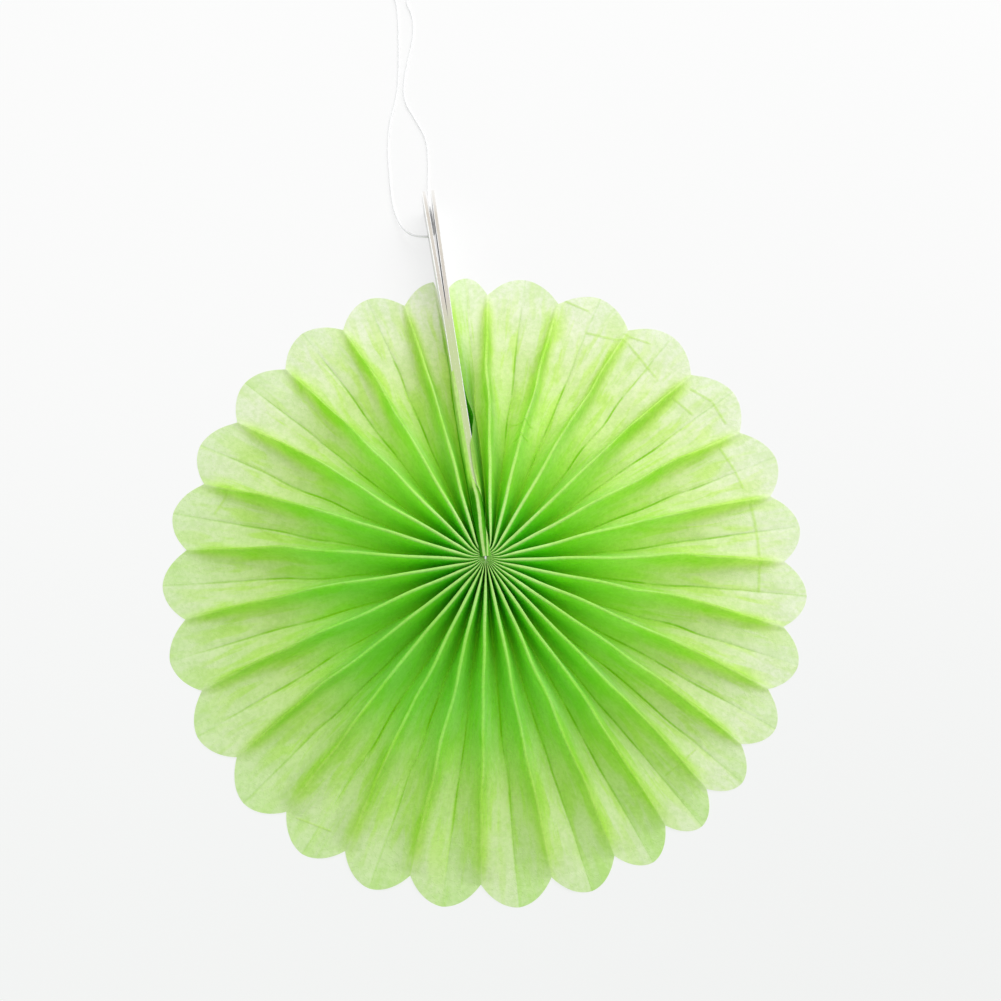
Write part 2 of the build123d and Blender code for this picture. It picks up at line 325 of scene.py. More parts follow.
def ridge_height(fold, station):
    """Height that is left for a leaf of its width over the pitch of the folds, until it sinks."""
    pitch = fold_pitch(fold, station)
    upright = sqrt(max(LEAF_WIDTH**2 - pitch**2, 1.0))
    share = sunk(station) ** SETTLE_POWER
    uneven = noise.noise(Vector((fold * 3.7, station / 22.0, 8.8)))
    uneven = uneven * RIDGE_UNEVEN * smooth_share(station, *UNEVEN_BEGINS)
    return (upright + uneven) * (1 - share) + RIM_RIDGE * share


def scallop_cut(station):
    """The share of a leaf, from its ridge, that the scallop has cut away."""
    rise = (station - NOTCH_RADIUS) / SCALLOP_DEPTH
    if rise <= 0:
        return 0.0
    start = radians(SCALLOP_START)
    height = sin(start) + (1 - sin(start)) * min(rise, 1.0)
    return 1 - sqrt(max(0.0, 1 - height**2)) / cos(start)


def leaf_stations():
    """Stations of a leaf's rows of points, close to each other where the scallop turns in."""
    start = radians(SCALLOP_START)
    inner = [HUB_END + (NOTCH_RADIUS - HUB_END) * step / INNER_STEPS for step in range(INNER_STEPS)]
    rim = []
    for step in range(RIM_STEPS + 1):
        turn = start + (pi / 2 - start) * step / RIM_STEPS
        rim.append(NOTCH_RADIUS + SCALLOP_DEPTH * (sin(turn) - sin(start)) / (1 - sin(start)))
    return inner + rim


def sheet_rise(point, station):
    """Low waves and small crinkles of the sheet between its folds."""
    rise = sum(noise.noise(point / length + Vector(place)) * height for length, height, place in SHEET_WAVES)
    return rise * min(1.0, station / 60.0)


def pinch_share(station):
    """How much of a ridge's height stands in its narrow fin."""
    return PINCH * smooth_share(station, *PINCH_BEGINS)


def straight_share(point):
    """1 where the petals are plain folds out to their tips, at the foot of the rosette."""
    turned = abs((degrees(atan2(point.y, point.x)) - STRAIGHT_DIRECTION + 180.0) % 360.0 - 180.0)
    return 1 - smooth_share(turned, *STRAIGHT_SPREAD)


def leaf_folds(leaf):
    """A leaf's ridge and valley."""
    return (leaf, leaf + 1) if leaf % 2 == 0 else (leaf + 1, leaf)


def leaf_point(leaf, station, across):
    """A point of a leaf, from the ridge at 0 to the valley at 1."""
    ridge, valley = leaf_folds(leaf)
    start, end = fold_point(ridge, station), fold_point(valley, station)
    point = start + (end - start) * across
    reach = (end - start).length

    # the ridge's rounded top, and below it the fin and the slope
    crest = crest_share(reach)
    rounded = min(1.0, across / crest)
    beyond = max(0.0, across - crest) / (1 - crest)
    pinch = pinch_share(station) * (1 - STRAIGHT_PINCH * straight_share(point))
    fin = exp(-beyond * reach / FIN_REACH)
    height = ridge_height(ridge, station) * ((1 - pinch) * (1 - beyond) + pinch * fin)
    point.z = height - CREST_DROP * rounded**2 * (1 - beyond)

    # the petal stands a little above the crease along its valley
    groove = exp(-(1 - across) * reach / GROOVE_REACH)
    depth = CREASE_DEPTH * pinch * (1 - CREASE_LOSS * smooth_share(station, *CREASES_FLATTEN))
    rise = depth + sheet_rise(point, station) * 4 * across * (1 - across)
    point.z += rise * (1 - groove)
    point.z = max(point.z, 0.0) + SHEET_LIFT
    return point


def crest_share(reach):
    """The share of a leaf that its rounded crest takes up."""
    return min(CREST / reach, 0.36)


def hub_share(station):
    """1 where the sheet's ends are drawn over the cards at the hub, and 0 farther out."""
    return 1 - smooth_share(station, *COVERED)


def between(route, share):
    """A point on straight runs, and how deep in a fold it counts as, which sets its painted shade."""
    for before, after in zip(route, route[1:]):
        if share <= after[0]:
            part = (share - before[0]) / (after[0] - before[0])
            return before[1].lerp(after[1], part), before[2] + (after[2] - before[2]) * part
    return route[-1][1], route[-1][2]


def end_leaf_route(leaf, station):
    """The section of a leaf beside or over the cards, as (share, point, how deep in a fold, which sets its painted
    shade).

    The left one runs from its flap by the ridge and the card's corner to the valley, the next
    from the ridge to the valley, and the right one from the ridge down to the card's foot.
    """
    corner = card_face(station) + 0.15
    settled = smooth_share(station, *(LEFT_END_SINKS if leaf == LEFT_LEAF else RIGHT_END_SINKS))
    top = (LEAF_WIDTH + OVER_CARD) * (1 - settled) + RIM_RIDGE * settled
    near_hub = hub_share(station)
    if leaf == LEFT_LEAF:
        ridge = end_ridge(station, LEFT)
        flap = ridge + (min(corner, end_ridge(station, RIGHT) + 0.3) - ridge) * near_hub
        over = smooth_share(ridge, -corner, 0.5 - corner)
        edge = seam_point(station, min(ridge, -corner), top)
        valley = fold_point(LAST_FOLD, station) + Vector((0, 0, SHEET_LIFT))
        swell = edge.lerp(valley, 0.6)
        swell.z = 0.85 * top
        # the flap and the flank by the card's corner near the hub are painted as if deep in a fold
        return (
            (0.0, seam_point(station, flap + 0.05, top - 0.1 - 4.5 * near_hub), 1.0),
            (0.08, seam_point(station, flap, top - 0.05), near_hub),
            (0.12, seam_point(station, ridge, top + 0.15 * over + 0.5 * near_hub), 0.0),
            (0.3, edge, 0.9 * near_hub),
            (0.65, swell, 0.5),
            (1.0, valley, 1.0),
        )
    ridge = end_ridge(station, RIGHT)
    over = 1 - smooth_share(ridge, corner - 0.4, corner + 0.1)
    crest = seam_point(station, ridge, top + 0.15 * over)
    if leaf == 0:
        valley = fold_point(1, station) + Vector((0, 0, SHEET_LIFT))
        knee = crest.lerp(valley, 0.06).lerp(seam_point(station, corner, top), over)
        return ((0.0, crest, 0.0), (0.3, knee, 0.1), (1.0, valley, 1.0))
    foot = seam_point(station, card_face(station) + 0.03, SHEET_LIFT)
    under = crest.lerp(foot, 0.1).lerp(seam_point(station, corner - 0.07, top - 0.07), over)
    lowered = crest - Vector((0, 0, 0.07 * over))
    return ((0.0, lowered, 0.3), (0.3, under, 0.5), (1.0, foot, 1.0))


def across_shares(station):
    """Where a leaf's section has its points: at the rounded ridge, and from there to the valley."""
    crest = crest_share(pi * station / PETALS)
    return [0.0, crest / 2, crest] + [crest + (1 - crest) * share for share in BEYOND_CREST]


def leaf_painted_light_and_tone(leaf):
    """How pale a leaf is painted, from 0 to 1, as painted light by the side that it faces, which counts most at the
    rosette's foot, and a little random tone.
    """
    ridge, valley = leaf_folds(leaf)
    start = fold_point(ridge, TONE_STATION)
    facing = (fold_point(valley, TONE_STATION) - start).normalized().dot(PAINTED_LIGHT_SIDE)
    straight = straight_share(start)
    painted_light_and_tone = 0.62 - 0.17 * straight + (0.1 + 0.32 * straight) * facing + 0.15 * noise.random()
    # the left end leaf, in the cards' shadow, is painted as fully lit, and the right end leaf darker
    return {LEFT_LEAF: 1.0, 0: 0.35}.get(leaf, painted_light_and_tone)


def end_leaf_row(leaf, station, cut, reach):
    """Points beside the cards, with share across, distances from ridge and valley in cm, and the painted shade
    where the sheet is tucked.
    """
    route = end_leaf_route(leaf, station)
    crest = route[2][1] if leaf == LEFT_LEAF else route[0][1]
    row = []
    for share in END_SHARES:
        across = cut + (1 - cut) * share
        point, deep = between(route, across)
        off = (point - crest).length
        from_ridge = off / 10.0
        from_valley = 1.0 if leaf == 0 else (1 - across) * reach / 10.0
        painted_tuck_shade = 0.0
        if leaf == LEFT_LEAF:
            # farther out the left end leaf counts as far from its ridge, so it gets no painted crest highlight or
            # ridge-foot shade
            from_ridge = max(from_ridge, smooth_share(station, 38.0, 52.0))
            # painted shade on the flap and flank drawn over the cards near the hub
            if across < 0.5:
                painted_tuck_shade = hub_share(station) * smooth_share(off, 0.4, 0.8)
        elif leaf == RIGHT_LEAF:
            # painted shade on the leaf pasted on the right card, near the hub
            painted_tuck_shade = 1 - smooth_share(station, 50.0, 62.0)
        row.append((point, deep, from_ridge, from_valley, painted_tuck_shade))
    return row


def leaf_row(leaf, station, cut, reach):
    """The same for the other leaves, of which none is tucked in or has the tucked parts' painted shade."""
    row = []
    for share in across_shares(station):
        across = cut + (1 - cut) * share
        from_valley = 1.0 if leaf == 1 else (1 - across) * reach / 10.0
        row.append((leaf_point(leaf, station, across), across, across * reach / 10.0, from_valley, 0.0))
    return row


def add_tissue():
    """One mesh of all the leaves, with what the material wants to know of a place in three UV maps."""
    stations = leaf_stations()
    row_length = len(END_SHARES)
    verts, faces, marks = [], [], []
    noise.seed_set(SEED)
    for leaf in range(RIGHT_LEAF, LEFT_LEAF + 1):
        first = len(verts)
        ridge, valley = leaf_folds(leaf)
        make_row = end_leaf_row if leaf in (RIGHT_LEAF, 0, LEFT_LEAF) else leaf_row
        painted_light_and_tone = leaf_painted_light_and_tone(leaf)
        for station in stations:
            cut = min(scallop_cut(station), 0.995)
            reach = (fold_point(valley, station) - fold_point(ridge, station)).length
            for point, across, from_ridge, from_valley, painted_tuck_shade in make_row(leaf, station, cut, reach):
                verts.append(point)
                marks.append((across, station / 100.0, from_ridge, from_valley, painted_light_and_tone, painted_tuck_shade))
        for row in range(len(stations) - 1):
            for step in range(row_length - 1):
                a = first + row * row_length + step
                b = a + row_length
                face = (a, a + 1, b + 1, b)
                faces.append(face if leaf % 2 == 0 else face[::-1])
    piece = finish_mesh("tissue", verts, faces)
    layers = [piece.data.uv_layers.new(name=name) for name in ("place", "edge", "painted_light_and_tone")]
    for loop in piece.data.loops:
        across, along, from_ridge, from_valley, painted_light_and_tone, painted_tuck_shade = marks[loop.vertex_index]
        layers[0].data[loop.index].uv = (across, along)
        layers[1].data[loop.index].uv = (from_ridge, from_valley)
        layers[2].data[loop.index].uv = (painted_light_and_tone, painted_tuck_shade)
    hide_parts("pleated_tissue")
    return piece


# Tie, band and knot

def tube_mesh(name, points, radius, closed, sides=8):
    """A fine thread along points, as a mesh."""
    count = len(points)
    verts, faces = [], []
    lift = None
    for index, point in enumerate(points):
        before = points[index - 1] if closed or index else point
        after = points[(index + 1) % count] if closed or index < count - 1 else point
        ahead = (after - before).normalized()
        lift = ahead.orthogonal() if lift is None else lift - ahead * lift.dot(ahead)
        lift.normalize()
        aside = ahead.cross(lift)
        for side in range(sides):
            turn = 2 * pi * side / sides
            verts.append(point + (lift * cos(turn) + aside * sin(turn)) * radius)
    rows = count if closed else count - 1
    for row in range(rows):
        for side in range(sides):
            a, b = row * sides + side, row * sides + (side + 1) % sides
            c, d = (b + sides) % len(verts), (a + sides) % len(verts)
            faces.append((a, b, c, d))
    if not closed:
        faces.append(tuple(range(sides))[::-1])
        faces.append(tuple(range(len(verts) - sides, len(verts))))
    return finish_mesh(name, verts, faces)


def add_hub_twist():
    """Two plies twisted round each other in a ring that binds the pleats, mostly sunk among them."""
    centre = Vector((0, 0, LEAF_WIDTH - TWIST_DEPTH))
    up = Vector((0, 0, 1))
    steps, twists, tilt = 96, 9, 0.85
    ply_radius, ply_turn = 0.18, 0.17
    rings = []
    for phase in (0.0, pi):
        points = []
        for step in range(steps):
            turn = 2 * pi * step / steps
            out = Vector((cos(turn), sin(turn), 0))
            base = centre + out * TWIST_RADIUS - up * (tilt * sin(turn))
            twist = turn * twists + phase
            points.append(base + (out * cos(twist) + up * sin(twist)) * ply_turn)
        rings.append(tube_mesh("hub_ply", points, ply_radius, True))
    return join_pieces("hub_twist", rings, "hub_tie")


def join_pieces(name, pieces, node):
    """One piece in place of several, which stands for a solid."""
    verts, faces = [], []
    for piece in pieces:
        first = len(verts)
        verts += [vert.co / MM for vert in piece.data.vertices]
        faces += [tuple(first + index for index in face.vertices) for face in piece.data.polygons]
        bpy.data.objects.remove(piece)
    joined = finish_mesh(name, verts, faces)
    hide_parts(node)
    return joined


def add_coil_band():
    """Three turns of finer thread drawn tight round the coil's turns."""
    half_width, half_height, middle, lowest = 1.3, 1.22, 1.24, 0.24
    turns, per_turn, wound_width = 3, 28, 1.1
    points = []
    for step in range(turns * per_turn + 1):
        turn = 2 * pi * step / per_turn
        wide, tall = cos(turn), sin(turn)
        corner = max(abs(wide), abs(tall)) ** 0.55
        points.append(COIL + Vector((
            wound_width * (step / (turns * per_turn) - 0.5),
            COIL_RADIUS + 0.28 + half_width * wide / corner,
            max(middle + half_height * tall / corner, lowest),
        )))
    band = tube_mesh("band_turns", points, 0.2, False)
    tail = [points[-1] + Vector((0.25 * step, 0.22 * step, -0.14 * step)) for step in range(5)]
    return join_pieces("coil_band", [band, tube_mesh("band_tail", tail, 0.18, False)], "coil_tie")


def add_end_knot():
    """The overhand knot that closes the loop, with its two short ends."""
    out, height = 5.95, 0.98            # from the coil's middle, and over the table
    middle = COIL + Vector((out * sin(pi / 4), out * cos(pi / 4), height))
    steps, size, rise, radius = 90, 0.235, 0.5, 0.36
    loop = []
    for step in range(steps):
        turn = 2 * pi * step / steps
        loop.append(middle + Vector((
            size * (sin(turn) + 2 * sin(2 * turn)),
            size * (cos(turn) - 2 * cos(2 * turn)),
            -rise * sin(3 * turn),
        )))
    ends = []
    for swing, length in ((0.5, 4.2), (-0.35, 3.4)):
        points = []
        for step in range(9):
            share = step / 8
            points.append(middle + Vector((
                0.3 + length * share,
                swing * (0.6 + 2.2 * share) + 0.3 * sin(4 * share),
                -0.6 * min(1.0, 2.5 * share),
            )))
        ends.append(tube_mesh("end", points, radius, False))
    return join_pieces("end_knot", [tube_mesh("loop", loop, radius, True)] + ends, "loop_knot")


# Materials

def new_material(name):
    """A material with its node tree and output, and no shader yet."""
    material = bpy.data.materials.new(name)
    material.use_nodes = True
    material.node_tree.nodes.clear()
    output = material.node_tree.nodes.new("ShaderNodeOutputMaterial")
    return material, material.node_tree, output


def add_node(tree, kind, inputs=None, **settings):
    """A node whose inputs are set, or linked where they are given as a socket."""
    node = tree.nodes.new(kind)
    for key, value in settings.items():
        setattr(node, key, value)
    for key, value in (inputs or {}).items():
        if isinstance(value, bpy.types.NodeSocket):
            tree.links.new(value, node.inputs[key])
        else:
            node.inputs[key].default_value = value
    return node


def calc(tree, operation, a, b=0.0, clamp=False):
    return add_node(tree, "ShaderNodeMath", {0: a, 1: b}, operation=operation, use_clamp=clamp).outputs[0]


def ramp(tree, value, low, high, start=0.0, end=1.0):
    """From start where the value is low to end where it is high, smoothly."""
    node = add_node(
        tree, "ShaderNodeMapRange",
        {"Value": value, "From Min": low, "From Max": high, "To Min": start, "To Max": end},
        interpolation_type="SMOOTHSTEP",
    )
    return node.outputs["Result"]


def blend(tree, share, a, b, kind="MIX"):
    """Colour a with a share of colour b."""
    node = add_node(tree, "ShaderNodeMix", data_type="RGBA", blend_type=kind)
    for index, value in ((0, share), (6, a), (7, b)):
        if isinstance(value, bpy.types.NodeSocket):
            tree.links.new(value, node.inputs[index])
        else:
            node.inputs[index].default_value = value
    return node.outputs[2]


def product(tree, *values):
    """The values times each other."""
    result = values[0]
    for value in values[1:]:
        result = calc(tree, "MULTIPLY", result, value)
    return result


def tinted(tree, colour, filter_colour):
    """One colour through another."""
    return blend(tree, 1.0, colour, filter_colour, "MULTIPLY")


def off_by(tree, value, place):
    """Distance of a value from a place, to either side."""
    return calc(tree, "ABSOLUTE", calc(tree, "SUBTRACT", value, place))


def along_axis(tree, coords, axis):
    """How far along an axis a place lies."""
    return add_node(tree, "ShaderNodeVectorMath", {0: coords, 1: axis}, operation="DOT_PRODUCT").outputs["Value"]


def cloud(tree, coords, scale, detail=2.0, roughness=0.5, offset=None):
    """Noise from 0 to 1. An offset gives another pattern of the same scale."""
    if offset is not None:
        inputs = {0: coords, 1: (offset, offset * 0.7, 0.0)}
        coords = add_node(tree, "ShaderNodeVectorMath", inputs, operation="ADD").outputs[0]
    inputs = {"Vector": coords, "Scale": scale, "Detail": detail, "Roughness": roughness}
    return add_node(tree, "ShaderNodeTexNoise", inputs).outputs["Fac"]


def bumps(tree, height, strength, distance):
    inputs = {"Height": height, "Strength": strength, "Distance": distance}
    return add_node(tree, "ShaderNodeBump", inputs).outputs[0]


def mixed_shader(tree, share, first, second, output):
    """The first shader, with a share of the second, as what a material or world gives out."""
    mixed = add_node(tree, "ShaderNodeMixShader", {0: share, 1: first, 2: second}).outputs[0]
    tree.links.new(mixed, output.inputs[0])


def seen_share(tree):
    """1 for what the camera sees, also in a glossy or through a clear surface, and 0 for light."""
    path = add_node(tree, "ShaderNodeLightPath").outputs
    seen = calc(tree, "ADD", path["Is Camera Ray"], path["Is Glossy Ray"])
    return calc(tree, "ADD", seen, path["Is Transmission Ray"], clamp=True)


def colour_ramp(tree, value, stops):
    """The colour at a value, between stops."""
    node = add_node(tree, "ShaderNodeValToRGB", {"Fac": value})
    elements = node.color_ramp.elements
    while len(elements) < len(stops):
        elements.new(0.5)
    for element, (place, colour) in zip(elements, stops):
        element.position = place
        element.color = (*colour, 1)
    return node.outputs["Color"]


FRONT_COLOURS = (             # what the paper sends back, from the hub to a petal's tip, darker and greener toward the hub as painted shade of the deep pleats
    (0.02, (0.45, 0.95, 0.15)),
    (0.12, (0.36, 0.95, 0.07)),
    (0.25, (0.66, 0.98, 0.17)),
    (0.45, (0.84, 0.99, 0.50)),
    (0.70, (0.92, 0.965, 0.74)),
    (0.92, (0.965, 0.985, 0.87)),
    (1.00, (0.97, 0.99, 0.92)),
)
THROUGH_COLOURS = (           # what it lets through, also greener toward the hub as painted shade of the deep pleats
    (0.02, (0.50, 0.97, 0.08)),
    (0.12, (0.42, 0.97, 0.02)),
    (0.25, (0.62, 0.98, 0.05)),
    (0.45, (0.76, 0.98, 0.16)),
    (0.70, (0.86, 0.95, 0.45)),
    (0.92, (0.965, 0.97, 0.83)),
    (1.00, (0.96, 0.99, 0.82)),
)
CREASES = (                   # straight creases across the petals, darkened with painted shade: ends and width in metres
    ((0.0850, 0.0221), (0.0866, 0.0131), 0.0009),
    ((0.0866, 0.0131), (0.0870, 0.0036), 0.0009),
    ((0.0870, 0.0036), (0.0861, -0.0084), 0.0009),
    ((0.0763, 0.0401), (0.0811, 0.0322), 0.0008),
    ((0.0811, 0.0322), (0.0833, 0.0261), 0.0008),
    ((0.0676, 0.0611), (0.0749, 0.0565), 0.0008),
    ((0.0749, 0.0565), (0.0791, 0.0485), 0.0008),
    ((0.0614, 0.0579), (0.0684, 0.0516), 0.0008),
    ((0.0334, 0.0812), (0.0472, 0.0777), 0.0008),
    ((0.0472, 0.0777), (0.0567, 0.0647), 0.0008),
    ((0.0459, 0.0806), (0.0555, 0.0770), 0.0007),
    ((0.0232, 0.0946), (0.0350, 0.0890), 0.0007),
    ((-0.0870, 0.0170), (-0.0810, 0.0270), 0.0008),
    ((0.0080, 0.0470), (0.0150, 0.0450), 0.0007),
    ((0.0085, 0.0400), (0.0135, 0.0405), 0.0006),
    ((-0.0720, 0.0120), (-0.0640, 0.0080), 0.0006),
    ((-0.0560, -0.0760), (-0.0450, -0.0800), 0.0005),
    ((0.0540, -0.0640), (0.0640, -0.0560), 0.0005),
)
PAINTED_LIGHT_AXIS = (0.5, 0.866, 0.0)          # across the rosette, toward the side that is painted as lit
WHITE = (1, 1, 1, 1)


def crease_mark(tree, coords, start, end, width):
    """1 on a straight crease between two places, and 0 beside it and past its ends."""
    start, end = Vector((*start, 0)), Vector((*end, 0))
    ahead = (end - start).normalized()
    aside = Vector((-ahead.y, ahead.x, 0))
    off = off_by(tree, along_axis(tree, coords, aside), start.dot(aside))
    on = off_by(tree, along_axis(tree, coords, ahead), (start + end).dot(ahead) / 2)
    half = (end - start).length / 2
    return product(tree, ramp(tree, off, 0.0, width, 1.0, 0.0), ramp(tree, on, half * 0.85, half * 1.08, 1.0, 0.0))


def uv_parts(tree, name):
    """The two values of a place that a UV map holds."""
    layer = add_node(tree, "ShaderNodeUVMap", uv_map=name).outputs[0]
    return add_node(tree, "ShaderNodeSeparateXYZ", {0: layer}).outputs[:2]


def tissue_material():
    """Fibrous tissue, part of whose light comes through: greener and darker toward the hub as painted shade, with
    painted shade and highlights along its folds, and painted light on its upper right side and on leaves that face
    the window.
    """
    material, tree, output = new_material("tissue")
    across, along = uv_parts(tree, "place")
    from_ridge, from_valley = uv_parts(tree, "edge")
    painted_light_and_tone, painted_tuck_shade = uv_parts(tree, "painted_light_and_tone")
    coords = add_node(tree, "ShaderNodeTexCoord").outputs["Object"]

    # the paper's own unevenness
    fibres = cloud(tree, coords, 700.0, 3.0, 0.6)
    patches = cloud(tree, coords, 120.0, offset=0.31)
    veins = ramp(tree, off_by(tree, cloud(tree, coords, 330.0, 2.0, 0.6, 0.77), 0.5), 0.0, 0.035, 1.0, 0.0)
    mottle = calc(tree, "ADD", product(tree, fibres, 0.6), product(tree, patches, 0.4))
    mottle = ramp(tree, mottle, 0.36, 0.64)
    along_leaf = {0: product(tree, across, 1.6), 1: product(tree, along, 3.2), 2: product(tree, painted_light_and_tone, 57.0)}
    along_leaf = add_node(tree, "ShaderNodeCombineXYZ", along_leaf).outputs[0]
    inputs = {"Vector": along_leaf, "Scale": 1.9, "Detail": 3.0, "Roughness": 0.55, "Distortion": 0.6}
    streaks = ramp(tree, add_node(tree, "ShaderNodeTexNoise", inputs).outputs["Fac"], 0.42, 0.66)
    streaks = product(
        tree, streaks, ramp(tree, along, 0.25, 0.5, 0.3, 1.0), ramp(tree, along, 0.8, 1.0, 1.0, 0.4),
    )

    # painted shade along the valleys, in the deep folds and at the ridges' feet, a painted highlight on the crests,
    # and the creases
    creases = crease_mark(tree, coords, *CREASES[0])
    for crease in CREASES[1:]:
        creases = calc(tree, "MAXIMUM", creases, crease_mark(tree, coords, *crease))
    broken = ramp(tree, cloud(tree, coords, 85.0, offset=0.13), 0.36, 0.62, 0.25, 1.0)
    # painted shade: a darker green line along each valley, broken here and there, strongest at mid radius
    painted_valley_shade = product(
        tree, ramp(tree, from_valley, 0.012, 0.05, 1.0, 0.0), broken,
        ramp(tree, along, 0.25, 0.5), ramp(tree, along, 0.6, 0.98, 1.0, 0.2),
    )
    # painted shade deep in the valleys toward the hub
    depth = product(tree, ramp(tree, along, 0.1, 0.46, 1.0, 0.0), ramp(tree, across, 0.4, 1.0))
    # painted shade: a more saturated band along the foot of each ridge, out toward the rim
    foot = product(
        tree, ramp(tree, from_ridge, 0.05, 0.4, 1.0, 0.0),
        ramp(tree, along, 0.4, 0.75), ramp(tree, along, 0.86, 0.97, 1.0, 0.0),
    )
    # painted highlight: a pale line along each ridge's crest, toward the hub
    crest = product(
        tree, ramp(tree, from_ridge, 0.035, 0.07, 1.0, 0.0),
        ramp(tree, along, 0.12, 0.5, 0.95, 0.0), ramp(tree, across, 0.3, 0.6, 1.0, 0.0),
    )

    # how all these change the paper's colour, with painted light and shade
    # painted light: the rosette's upper right side counts as lit, and its lower left as shaded
    painted_sunlit_side = ramp(tree, along_axis(tree, coords, PAINTED_LIGHT_AXIS), -0.075, 0.075)
    # colour of the painted shade in the deep folds: dark on the side away from the window, faint on its side
    deep = blend(tree, painted_sunlit_side, (0.2, 0.52, 0.12, 1), (0.92, 0.97, 0.84, 1))
    shade = blend(tree, depth, WHITE, deep)
    # painted shade on the side away from the window, stronger toward the hub
    away = blend(tree, ramp(tree, along, 0.4, 0.7), (0.56, 0.89, 0.46, 1), (0.82, 0.93, 0.68, 1))
    shade = tinted(tree, shade, blend(tree, painted_sunlit_side, away, WHITE))
    shade = blend(tree, product(tree, streaks, 0.75), shade, tinted(tree, shade, (0.80, 0.98, 0.40, 1)))
    # paints the shade line along the valleys
    shade = blend(tree, painted_valley_shade, shade, (0.46, 0.77, 0.1, 1))
    # paints the shade at the ridges' feet
    shade = blend(tree, product(tree, foot, 0.85), shade, tinted(tree, shade, (0.8, 0.97, 0.36, 1)))
    # the creases' darker green is painted shade, and their relief is in the bump below
    shade = blend(tree, product(tree, creases, 0.6), shade, (0.68, 0.90, 0.30, 1))
    # paints the shade where the sheet is tucked over the cards
    shade = blend(tree, painted_tuck_shade, shade, (0.12, 0.4, 0.05, 1))
    # painted light: leaves that face the window are paler, with some random tone
    shade = tinted(tree, shade, blend(tree, painted_light_and_tone, (0.80, 0.955, 0.63, 1), WHITE))
    shade = tinted(tree, shade, blend(tree, mottle, (0.86, 0.93, 0.76, 1), WHITE))

    # the crests' painted highlight
    front = blend(tree, crest, colour_ramp(tree, along, FRONT_COLOURS), (0.9, 1.0, 0.52, 1))
    veined = product(tree, veins, ramp(tree, along, 0.25, 0.8, 0.1, 0.42))
    front = tinted(tree, blend(tree, veined, front, (0.93, 0.99, 0.78, 1)), shade)
    through = tinted(tree, colour_ramp(tree, along, THROUGH_COLOURS), shade)

    relief = calc(tree, "ADD", product(tree, fibres, 0.4), product(tree, veins, 0.35))
    bump = bumps(tree, calc(tree, "ADD", relief, product(tree, creases, 1.2)), 0.45, 0.0003)
    diffuse = add_node(tree, "ShaderNodeBsdfDiffuse", {"Color": front, "Normal": bump}).outputs[0]
    translucent = add_node(tree, "ShaderNodeBsdfTranslucent", {"Color": through, "Normal": bump}).outputs[0]
    # less light comes through the painted highlight on the crests
    mixed_shader(tree, calc(tree, "SUBTRACT", 0.55, product(tree, crest, 0.3)), diffuse, translucent, output)
    return material


def card_material():
    """White-lined board: the liners show as pale edges beside a grey-beige core with its plies."""
    material, tree, output = new_material("card")
    coords = add_node(tree, "ShaderNodeTexCoord").outputs["Object"]
    turn = radians(SEAM_DIRECTION)
    station = along_axis(tree, coords, (cos(turn), sin(turn), 0))
    side = along_axis(tree, coords, (sin(turn), -cos(turn), 0))
    grain = cloud(tree, coords, 1400.0, 3.0)
    blotches = cloud(tree, coords, 180.0)

    # depth in a card from its inner face, and from there the distance from its middle
    slope = CARD_GAP / 2 / (CARD_END - CARD_BEND)
    spread = calc(tree, "MAXIMUM", product(tree, calc(tree, "SUBTRACT", station, CARD_BEND * MM), slope), 0.0)
    depth = calc(tree, "SUBTRACT", calc(tree, "ABSOLUTE", side), spread)
    middle = off_by(tree, depth, 0.00066)
    ragged = calc(tree, "ADD", middle, product(tree, calc(tree, "SUBTRACT", grain, 0.5), 0.00035))
    half = ramp(tree, station, 0.08, 0.105, 0.00068, 0.00047)
    core = ramp(tree, calc(tree, "SUBTRACT", ragged, half), -0.00006, 0.00006, 1.0, 0.0)
    waves = calc(tree, "SINE", product(tree, calc(tree, "ADD", ragged, 0.0001), 16000.0))
    plies = ramp(tree, waves, 0.5, 1.0)
    frayed = calc(tree, "ADD", station, product(tree, calc(tree, "SUBTRACT", blotches, 0.5), 0.012))
    core = product(tree, core, ramp(tree, frayed, 0.118, 0.1285, 1.0, 0.35))

    # between the tissue's leaves the core is painted green, for the light that comes through them
    board = blend(tree, blotches, (0.56, 0.515, 0.45, 1), (0.68, 0.645, 0.58, 1))
    board = blend(tree, product(tree, plies, 0.35), board, (0.42, 0.37, 0.33, 1))
    board = blend(tree, ramp(tree, station, 0.068, 0.09, 0.85, 0.0), board, (0.50, 0.62, 0.27, 1))
    liner = blend(tree, grain, (0.86, 0.86, 0.85, 1), (0.94, 0.94, 0.935, 1))
    inputs = {
        "Base Color": blend(tree, core, liner, board), "Roughness": 0.85, "Normal": bumps(tree, grain, 0.4, 0.0002),
    }
    shader = add_node(tree, "ShaderNodeBsdfPrincipled", inputs)
    tree.links.new(shader.outputs[0], output.inputs[0])
    return material


def thread_material():
    """White nylon sewing thread: fine plies that let some light through."""
    material, tree, output = new_material("thread")
    coords = add_node(tree, "ShaderNodeTexCoord").outputs["Object"]
    plies = cloud(tree, coords, 1500.0)
    tint = blend(tree, plies, (0.94, 0.945, 0.95, 1), (0.98, 0.985, 0.99, 1))
    inputs = {"Color": tint, "Normal": bumps(tree, plies, 0.3, 0.0001)}
    diffuse = add_node(tree, "ShaderNodeBsdfDiffuse", inputs).outputs[0]
    clear = add_node(tree, "ShaderNodeBsdfTransparent", {"Color": WHITE}).outputs[0]
    mixed_shader(tree, 0.38, diffuse, clear, output)
    return material


# Floor and light

FLOOR_GLOW = 0.76             # share of the floor's tone that no shadow reaches
FLOOR_HALF = 2.0              # half its side, in metres
ROOM_LIGHT = 0.56
LAMP_SIZE = 0.9
LAMP_DISTANCE = 0.9           # in metres, from the hub
LAMP_AZIMUTH = 55.0           # its direction
LAMP_ELEVATION = 48.0
LAMP_POWER = 7.1


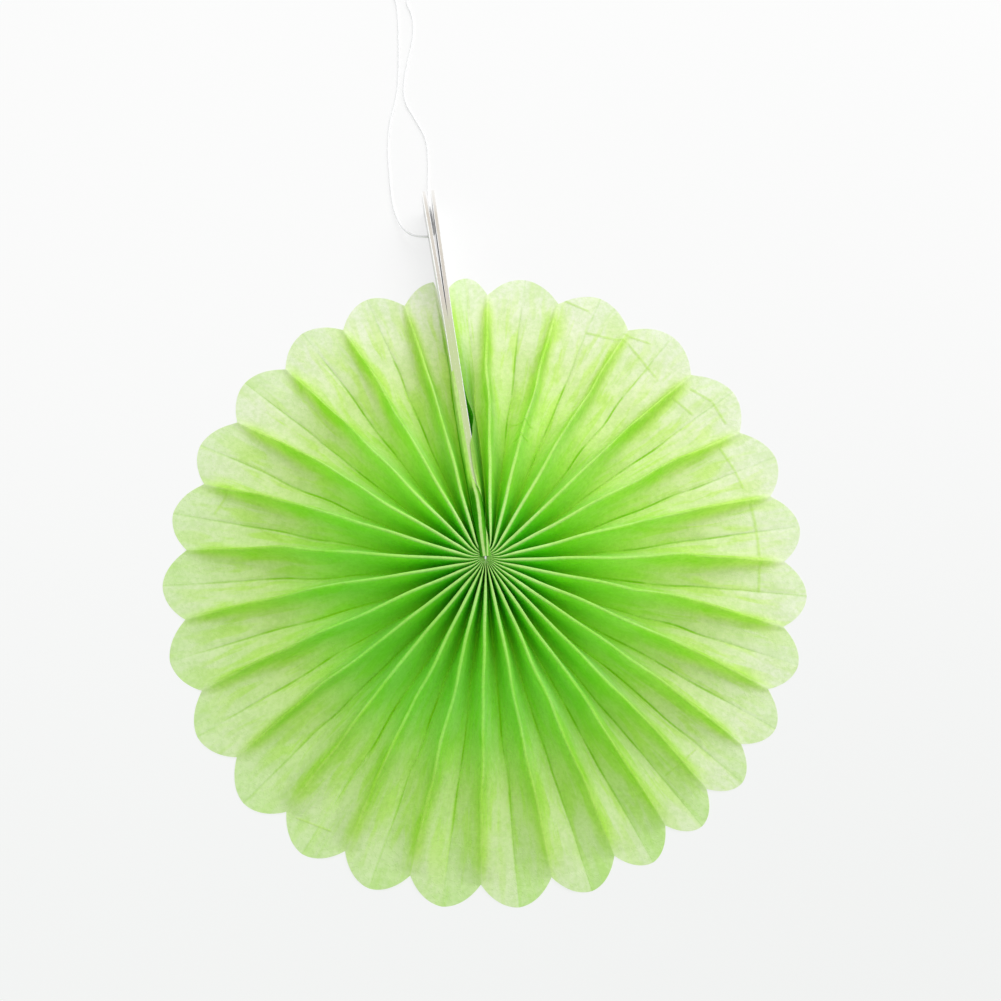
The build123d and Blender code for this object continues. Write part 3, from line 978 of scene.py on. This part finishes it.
def add_floor():
    """A white table, with painted shade that makes it slightly darker toward its near and right sides."""
    mesh = bpy.data.meshes.new("floor")
    corners = [(x * FLOOR_HALF, y * FLOOR_HALF, 0) for x, y in ((-1, -1), (1, -1), (1, 1), (-1, 1))]
    mesh.from_pydata(corners, [], [(0, 1, 2, 3)])
    floor = bpy.data.objects.new("floor", mesh)
    scene.collection.objects.link(floor)
    material, tree, output = new_material("floor")
    coords = add_node(tree, "ShaderNodeTexCoord").outputs["Object"]
    x, y = add_node(tree, "ShaderNodeSeparateXYZ", {0: coords}).outputs[:2]
    # painted shade: the floor's tone falls off toward its near and right sides
    tint = blend(tree, ramp(tree, y, -0.14, 0.12), (0.915, 0.926, 0.918, 1), (0.952, 0.954, 0.952, 1))
    tint = tinted(tree, tint, blend(tree, ramp(tree, x, -0.2, 0.2), WHITE, (0.955, 0.955, 0.955, 1)))
    diffuse = add_node(tree, "ShaderNodeBsdfDiffuse", {"Color": tint}).outputs[0]
    glow = add_node(tree, "ShaderNodeEmission", {"Color": tint, "Strength": 1.0}).outputs[0]
    mixed_shader(tree, product(tree, seen_share(tree), FLOOR_GLOW), diffuse, glow, output)
    mesh.materials.append(material)


def add_light():
    """A pale room, and a soft window at the upper right."""
    world = bpy.data.worlds.new("room")
    scene.world = world
    world.use_nodes = True
    tree = world.node_tree
    room = add_node(tree, "ShaderNodeBackground", {0: WHITE, 1: ROOM_LIGHT}).outputs[0]
    backdrop = add_node(tree, "ShaderNodeBackground", {0: (0.94, 0.945, 0.94, 1), 1: 1.0}).outputs[0]
    mixed_shader(tree, seen_share(tree), room, backdrop, tree.nodes["World Output"])
    data = bpy.data.lights.new("window", "AREA")
    data.shape = "SQUARE"
    data.size = LAMP_SIZE
    data.energy = LAMP_POWER
    lamp = bpy.data.objects.new("window", data)
    scene.collection.objects.link(lamp)
    azimuth, elevation = radians(LAMP_AZIMUTH), radians(LAMP_ELEVATION)
    toward = Vector((cos(azimuth) * cos(elevation), sin(azimuth) * cos(elevation), sin(elevation)))
    turned = toward.to_track_quat("Z", "Y").to_matrix().to_4x4()
    lamp.matrix_world = Matrix.Translation(toward * LAMP_DISTANCE) @ turned


# The scene

add_camera()
thread, thread_exit = add_thread()
tissue = add_tissue()
hub_twist = add_hub_twist()
coil_band = add_coil_band()
end_knot = add_end_knot()
tissue.data.materials.append(tissue_material())
thread.data.materials.append(thread_material())
for piece in (hub_twist, coil_band, end_knot):
    piece.data.materials.append(thread.data.materials[0])
card_paper = card_material()
for node in ("card_left", "card_right"):
    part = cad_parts[node]
    part.data.materials.clear()
    part.data.materials.append(card_paper)
add_floor()
add_light()
scene.view_settings.view_transform = "Standard"

bpy.context.view_layer.update()
